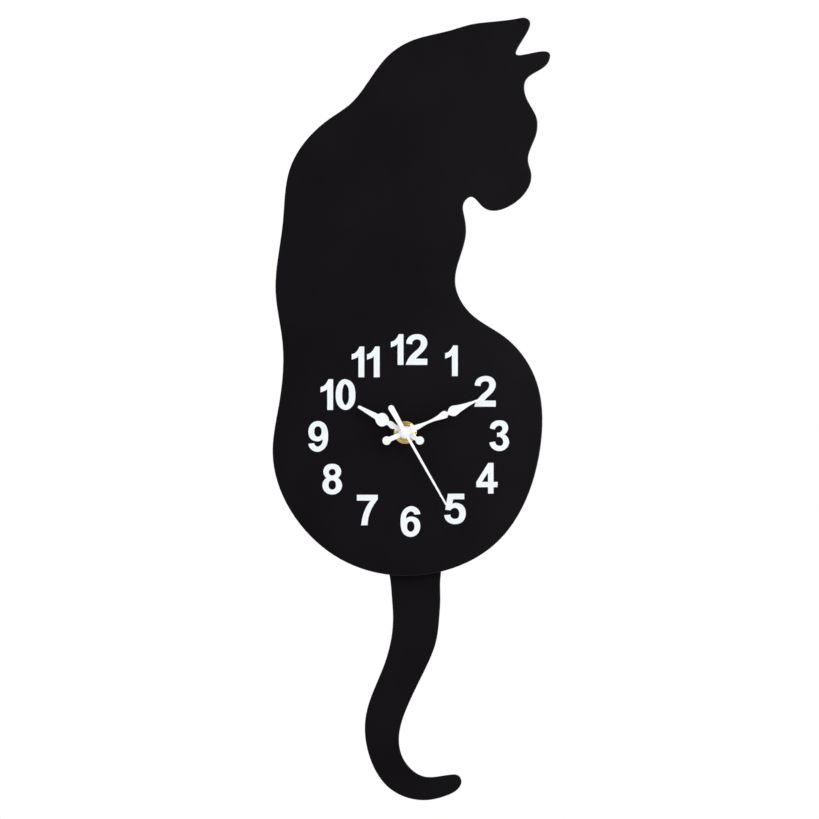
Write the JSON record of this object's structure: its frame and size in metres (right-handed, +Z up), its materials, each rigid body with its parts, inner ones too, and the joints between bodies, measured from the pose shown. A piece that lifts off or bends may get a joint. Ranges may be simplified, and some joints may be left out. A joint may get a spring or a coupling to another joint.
{
  "type": "cat tail wall clock",
  "caption": "Wall clock shaped as a black sitting cat with white dial figures and hands on its body and a hanging curled tail that swings as a pendulum.",
  "frame": {"origin": "centre of the hanging eye on the wall plane, at the back face of the hanging plate", "axes": "+X to the reader's right, +Z up along the cat and its tail, +Y into the wall; the clock is at negative Y"},
  "size_m": [0.1527, 0.0311, 0.4307],
  "materials": {
    "black_acrylic": "satin black acrylic sheet with polished edges",
    "white_figure": "smooth white vinyl",
    "white_hand": "white enamel on thin aluminium",
    "brass": "turned, bright",
    "black_rubber": "soft matte",
    "black_abs": "fine moulded texture",
    "zinc_steel": "zinc plated",
    "plain_steel": "bright",
    "battery_jacket": "plain printed jacket",
    "nickel_strip": "nickel plated strip",
    "board_laminate": "green solder mask",
    "black_epoxy": "cured epoxy",
    "crystal_can": "drawn can",
    "soft_iron": "annealed strip",
    "white_nylon": "natural nylon",
    "copper_wire": "enamelled copper wire",
    "magnet": "sintered ferrite",
    "white_acetal": "moulded acetal",
    "black_acetal": "moulded acetal",
    "spring_bronze": "phosphor bronze"
  },
  "bodies": {
    "movement": {"cat_panel": "black_acrylic", "numeral_01": "white_figure", "numeral_02": "white_figure", "numeral_03": "white_figure", "numeral_04": "white_figure", "numeral_05": "white_figure", "numeral_06": "white_figure", "numeral_07": "white_figure", "numeral_08": "white_figure", "numeral_09": "white_figure", "numeral_10": "white_figure", "numeral_11": "white_figure", "numeral_12": "white_figure", "front_case": "black_abs", "back_cover": "black_abs", "wall_hanger": "zinc_steel", "hanger_rivets": "zinc_steel", "case_screws": "zinc_steel", "negative_contact": "nickel_strip", "positive_contact": "nickel_strip", "circuit_board": "board_laminate", "clock_chip": "black_epoxy", "quartz_crystal": "crystal_can", "coil_core": "soft_iron", "coil_bobbin": "white_nylon", "coil_winding": "copper_wire", "stator": "soft_iron", "train_bridge": "black_acetal", "bridge_screws": "zinc_steel", "threaded_bushing": "brass", "rubber_washer": "black_rubber", "brass_washer": "brass", "brass_nut": "brass", "pendulum_pin": "plain_steel", "pendulum_coil_bobbin": "white_nylon", "pendulum_coil_winding": "copper_wire", "pendulum_board": "board_laminate"},
    "battery": {"battery_can": "battery_jacket", "battery_positive_cap": "plain_steel"},
    "seconds": {"second_hand": "white_hand", "second_hand_hub": "white_hand", "second_shaft": "plain_steel", "second_wheel": "white_acetal"},
    "rotor": {"rotor_pinion": "white_acetal", "rotor_magnet": "magnet"},
    "step": {"step_wheel": "white_acetal"},
    "third": {"third_wheel": "white_acetal", "third_pinion": "brass"},
    "centre": {"centre_wheel": "black_acetal"},
    "minutes": {"minute_shaft": "black_acetal", "minute_hand": "white_hand", "clutch_spring": "spring_bronze"},
    "motion": {"motion_wheel": "white_acetal", "setting_knob": "black_acetal"},
    "hours": {"hour_wheel": "white_acetal", "hour_hand": "white_hand"},
    "pendulum": {"pendulum_arm": "black_acetal", "pendulum_magnet": "magnet", "pendulum_hook": "plain_steel", "tail": "black_acrylic"}
  },
  "joints": [
    {"name": "second_hand_spin", "type": "hinge", "parent": "movement", "child": "seconds", "pos_m": [0, -0.015, -0.034], "axis": [0, 1, 0], "continuous": true},
    {"name": "rotor_spin", "type": "hinge", "parent": "movement", "child": "rotor", "pos_m": [0.01395, -0.006, -0.02905], "axis": [0, 1, 0], "continuous": true},
    {"name": "step_wheel_spin", "type": "hinge", "parent": "movement", "child": "step", "pos_m": [0.009, -0.006, -0.034], "axis": [0, 1, 0], "continuous": true},
    {"name": "third_wheel_spin", "type": "hinge", "parent": "movement", "child": "third", "pos_m": [-0.00887, -0.007, -0.03162], "axis": [0, 1, 0], "continuous": true},
    {"name": "centre_wheel_spin", "type": "hinge", "parent": "movement", "child": "centre", "pos_m": [0, -0.0105, -0.034], "axis": [0, 1, 0], "continuous": true},
    {"name": "minute_hand_spin", "type": "hinge", "parent": "movement", "child": "minutes", "pos_m": [0, -0.02, -0.034], "axis": [0, 1, 0], "continuous": true},
    {"name": "motion_wheel_spin", "type": "hinge", "parent": "movement", "child": "motion", "pos_m": [0, -0.008, -0.0244], "axis": [0, 1, 0], "continuous": true},
    {"name": "hour_hand_spin", "type": "hinge", "parent": "movement", "child": "hours", "pos_m": [0, -0.02, -0.034], "axis": [0, 1, 0], "continuous": true},
    {"name": "tail_swing", "type": "hinge", "parent": "movement", "child": "pendulum", "pos_m": [0.0007, -0.009, -0.07], "axis": [0, 1, 0], "range_deg": [-10, 10]},
    {"name": "battery_slide", "type": "slide", "parent": "movement", "child": "battery", "axis": [0, 1, 0], "range_m": [0, 0.02]}
  ],
  "couplings": [
    {"joint": "rotor_spin", "follows": "second_hand_spin", "ratio": 30},
    {"joint": "step_wheel_spin", "follows": "second_hand_spin", "ratio": -5},
    {"joint": "third_wheel_spin", "follows": "second_hand_spin", "ratio": -0.13333},
    {"joint": "centre_wheel_spin", "follows": "second_hand_spin", "ratio": 0.016667},
    {"joint": "motion_wheel_spin", "follows": "minute_hand_spin", "ratio": -0.33333},
    {"joint": "hour_hand_spin", "follows": "minute_hand_spin", "ratio": 0.083333}
  ]
}
